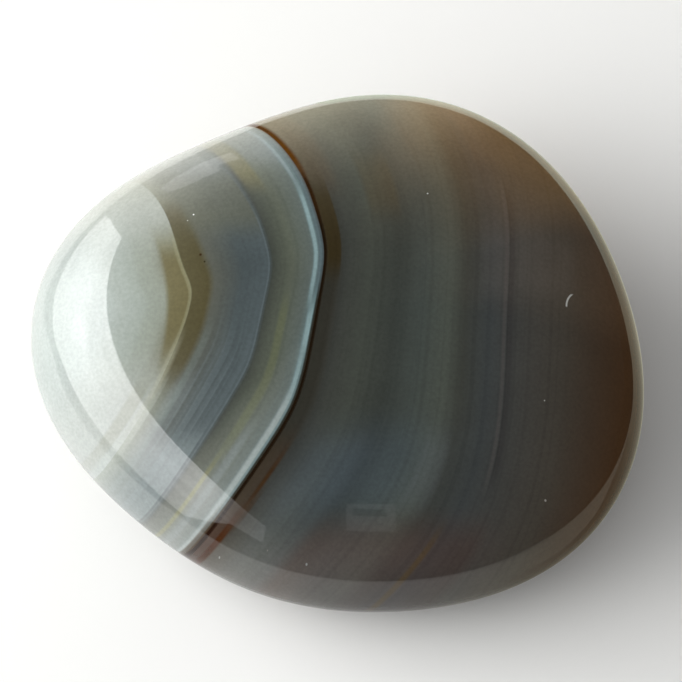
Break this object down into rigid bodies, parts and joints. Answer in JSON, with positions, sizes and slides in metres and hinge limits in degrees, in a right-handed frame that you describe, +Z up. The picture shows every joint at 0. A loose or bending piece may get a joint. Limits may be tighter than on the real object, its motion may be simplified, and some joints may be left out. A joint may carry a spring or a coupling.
{
  "type": "tumbled agate",
  "caption": "Flattened oval agate pebble, tumbled round and polished, that lies steadily on a small flat underneath.",
  "frame": {"origin": "middle of the footprint at the height of the resting flat", "axes": "+X along the stone's length, towards its dark end; +Z up through its thickness; -Y towards its front edge, where it slopes down"},
  "size_m": [0.0402, 0.0346, 0.014],
  "materials": {
    "polished_agate": "polished, banded and slightly translucent"
  },
  "bodies": {
    "root": {"agate_pebble": "polished_agate"}
  },
  "joints": []
}
